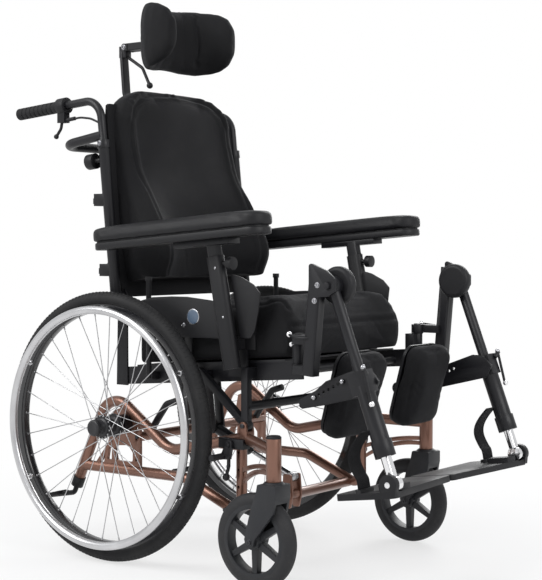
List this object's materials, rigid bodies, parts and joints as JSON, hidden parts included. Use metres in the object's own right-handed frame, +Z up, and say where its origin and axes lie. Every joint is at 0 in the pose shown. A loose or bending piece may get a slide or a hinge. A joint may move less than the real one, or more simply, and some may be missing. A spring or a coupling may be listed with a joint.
{
  "type": "tilt-in-space wheelchair",
  "caption": "Multi-position wheelchair with a tilting seat, reclining back, head support, height-adjustable arms and elevating leg rests on a tubular base with self-propelling wheels.",
  "frame": {"origin": "on the floor under the middle of the object's box", "axes": "+Z up; the occupant faces -Y; +X is the occupant's left"},
  "size_m": [0.6894, 1.0964, 1.291],
  "materials": {
    "tyre_rubber": "treaded black rubber",
    "rim_metal": "black anodised rim",
    "spoke_steel": "drawn steel wire",
    "hub_plastic": "moulded black",
    "handrim_metal": "satin anodised",
    "caster_rubber": "smooth solid tyre",
    "caster_plastic": "moulded black",
    "black_paint": "satin black powder coat",
    "copper_paint": "metallic copper-brown paint",
    "black_plastic": "fine moulded grain",
    "spring_steel": "ground rod",
    "bright_steel": "bright tube",
    "upholstery": "stretch cover on foam",
    "pad_skin": "soft skinned foam",
    "grip_rubber": "ribbed grip",
    "webbing": "flat webbing"
  },
  "bodies": {
    "base": {"frame_left": "copper_paint", "frame_right": "copper_paint", "cross_tubes": "copper_paint", "caps_and_pedals": "black_plastic", "base_brackets": "black_paint"},
    "left_wheel": {"left_tyre": "tyre_rubber", "left_rim": "rim_metal", "left_spokes": "spoke_steel", "left_hub": "hub_plastic", "left_handrim": "handrim_metal"},
    "left_swivel": {"left_fork": "black_paint"},
    "left_caster": {"left_caster_tyre": "caster_rubber", "left_caster_wheel": "caster_plastic"},
    "left_brake": {"left_brake_lever": "black_paint"},
    "right_wheel": {"right_tyre": "tyre_rubber", "right_rim": "rim_metal", "right_spokes": "spoke_steel", "right_hub": "hub_plastic", "right_handrim": "handrim_metal"},
    "right_swivel": {"right_fork": "black_paint"},
    "right_caster": {"right_caster_tyre": "caster_rubber", "right_caster_wheel": "caster_plastic"},
    "right_brake": {"right_brake_lever": "black_paint"},
    "spring_stem": {"spring_rod": "spring_steel"},
    "spring_body": {"spring_cylinder": "black_paint"},
    "seat": {"seat_supports": "black_paint", "seat_frame": "black_paint", "seat_cushion": "upholstery", "arm_sockets": "black_plastic", "side_panels": "black_plastic"},
    "back": {"back_frame": "black_paint", "back_cushion": "upholstery", "push_grips": "grip_rubber", "back_fittings": "black_plastic", "rear_bar": "black_paint", "head_bracket": "black_plastic"},
    "head_stem": {"head_post": "black_paint"},
    "head_rest": {"head_pad": "upholstery"},
    "left_lever": {"left_hand_lever": "black_plastic"},
    "left_arm": {"left_arm_post": "black_paint", "left_arm_pad": "pad_skin"},
    "left_hanger_body": {"left_hanger": "black_paint"},
    "left_leg": {"left_leg_tube": "black_paint", "left_knee_cover": "black_plastic", "left_calf_arm": "black_paint"},
    "left_calf": {"left_calf_pad": "upholstery"},
    "left_foot": {"left_foot_tube": "bright_steel"},
    "left_plate": {"left_footplate": "black_plastic", "left_heel_strap": "webbing"},
    "right_lever": {"right_hand_lever": "black_plastic"},
    "right_arm": {"right_arm_post": "black_paint", "right_arm_pad": "pad_skin"},
    "right_hanger_body": {"right_hanger": "black_paint"},
    "right_leg": {"right_leg_tube": "black_paint", "right_knee_cover": "black_plastic", "right_calf_arm": "black_paint"},
    "right_calf": {"right_calf_pad": "upholstery"},
    "right_foot": {"right_foot_tube": "bright_steel"},
    "right_plate": {"right_footplate": "black_plastic", "right_heel_strap": "webbing"}
  },
  "joints": [
    {"name": "left_wheel_turn", "type": "hinge", "parent": "base", "child": "left_wheel", "pos_m": [0.2986, 0.20913, 0.305], "axis": [1, 0, 0], "continuous": true},
    {"name": "left_caster_swivel", "type": "hinge", "parent": "base", "child": "left_swivel", "pos_m": [0.302, -0.26587, 0.25], "axis": [0, 0, 1], "continuous": true},
    {"name": "left_caster_turn", "type": "hinge", "parent": "left_swivel", "child": "left_caster", "pos_m": [0.302, -0.22187, 0.1], "axis": [1, 0, 0], "continuous": true},
    {"name": "left_brake_turn", "type": "hinge", "parent": "base", "child": "left_brake", "pos_m": [0.267, -0.12087, 0.288], "axis": [1, 0, 0], "range_deg": [0, 8]},
    {"name": "right_wheel_turn", "type": "hinge", "parent": "base", "child": "right_wheel", "pos_m": [-0.2986, 0.20913, 0.305], "axis": [1, 0, 0], "continuous": true},
    {"name": "right_caster_swivel", "type": "hinge", "parent": "base", "child": "right_swivel", "pos_m": [-0.302, -0.26587, 0.25], "axis": [0, 0, 1], "continuous": true},
    {"name": "right_caster_turn", "type": "hinge", "parent": "right_swivel", "child": "right_caster", "pos_m": [-0.302, -0.22187, 0.1], "axis": [1, 0, 0], "continuous": true},
    {"name": "right_brake_turn", "type": "hinge", "parent": "base", "child": "right_brake", "pos_m": [-0.267, -0.12087, 0.288], "axis": [1, 0, 0], "range_deg": [0, 8]},
    {"name": "seat_tilt", "type": "hinge", "parent": "base", "child": "seat", "pos_m": [0, -0.14587, 0.328], "axis": [-1, 0, 0], "range_deg": [-4, 13]},
    {"name": "spring_swing", "type": "hinge", "parent": "base", "child": "spring_stem", "pos_m": [0, -0.08987, 0.181], "axis": [-1, 0, 0], "range_deg": [-6, 16]},
    {"name": "spring_stroke", "type": "slide", "parent": "spring_stem", "child": "spring_body", "axis": [0, 0.9191, 0.3939], "range_m": [-0.05, 0.02]},
    {"name": "back_recline", "type": "hinge", "parent": "seat", "child": "back", "pos_m": [0, 0.23413, 0.6], "axis": [-1, 0, 0], "range_deg": [0, 30]},
    {"name": "head_height", "type": "slide", "parent": "back", "child": "head_stem", "axis": [0, 0.1054, 0.9944], "range_m": [-0.04, 0.06]},
    {"name": "head_pad_turn", "type": "hinge", "parent": "head_stem", "child": "head_rest", "pos_m": [0, 0.41513, 1.203], "axis": [1, 0, 0], "range_deg": [-20, 12]},
    {"name": "left_lever_turn", "type": "hinge", "parent": "back", "child": "left_lever", "pos_m": [0.24, 0.40413, 1.009], "axis": [1, 0, 0], "range_deg": [0, 22], "stiffness_Nm_per_rad": 0.5, "springref_deg": -17.19},
    {"name": "left_arm_height", "type": "slide", "parent": "seat", "child": "left_arm", "axis": [0, 0.1891, 0.982], "range_m": [0, 0.07]},
    {"name": "left_legrest_swing", "type": "hinge", "parent": "seat", "child": "left_hanger_body", "pos_m": [0.236, -0.28087, 0.487], "axis": [0, 0, 1], "range_deg": [0, 90]},
    {"name": "left_leg_raise", "type": "hinge", "parent": "left_hanger_body", "child": "left_leg", "pos_m": [0.256, -0.38087, 0.631], "axis": [-1, 0, 0], "range_deg": [0, 60]},
    {"name": "left_calf_turn", "type": "hinge", "parent": "left_leg", "child": "left_calf", "pos_m": [0.133, -0.31087, 0.391], "axis": [1, 0, 0], "range_deg": [-12, 12]},
    {"name": "left_foot_length", "type": "slide", "parent": "left_leg", "child": "left_foot", "axis": [0, -0.3551, -0.9348], "range_m": [-0.03, 0.08]},
    {"name": "left_plate_angle", "type": "hinge", "parent": "left_foot", "child": "left_plate", "pos_m": [0.256, -0.52824, 0.24305], "axis": [-1, 0, 0], "range_deg": [0, 25]},
    {"name": "right_lever_turn", "type": "hinge", "parent": "back", "child": "right_lever", "pos_m": [-0.24, 0.40413, 1.009], "axis": [1, 0, 0], "range_deg": [0, 22], "stiffness_Nm_per_rad": 0.5, "springref_deg": -17.19},
    {"name": "right_arm_height", "type": "slide", "parent": "seat", "child": "right_arm", "axis": [0, 0.1891, 0.982], "range_m": [0, 0.07]},
    {"name": "right_legrest_swing", "type": "hinge", "parent": "seat", "child": "right_hanger_body", "pos_m": [-0.236, -0.28087, 0.487], "axis": [0, 0, -1], "range_deg": [0, 90]},
    {"name": "right_leg_raise", "type": "hinge", "parent": "right_hanger_body", "child": "right_leg", "pos_m": [-0.256, -0.38087, 0.631], "axis": [-1, 0, 0], "range_deg": [0, 60]},
    {"name": "right_calf_turn", "type": "hinge", "parent": "right_leg", "child": "right_calf", "pos_m": [-0.133, -0.31087, 0.391], "axis": [1, 0, 0], "range_deg": [-12, 12]},
    {"name": "right_foot_length", "type": "slide", "parent": "right_leg", "child": "right_foot", "axis": [0, -0.3551, -0.9348], "range_m": [-0.03, 0.08]},
    {"name": "right_plate_angle", "type": "hinge", "parent": "right_foot", "child": "right_plate", "pos_m": [-0.256, -0.52824, 0.24305], "axis": [-1, 0, 0], "range_deg": [0, 25]}
  ],
  "couplings": [
    {"joint": "spring_swing", "follows": "seat_tilt", "ratio": 1.0313},
    {"joint": "spring_stroke", "follows": "seat_tilt", "m_per_rad": -0.15686}
  ]
}
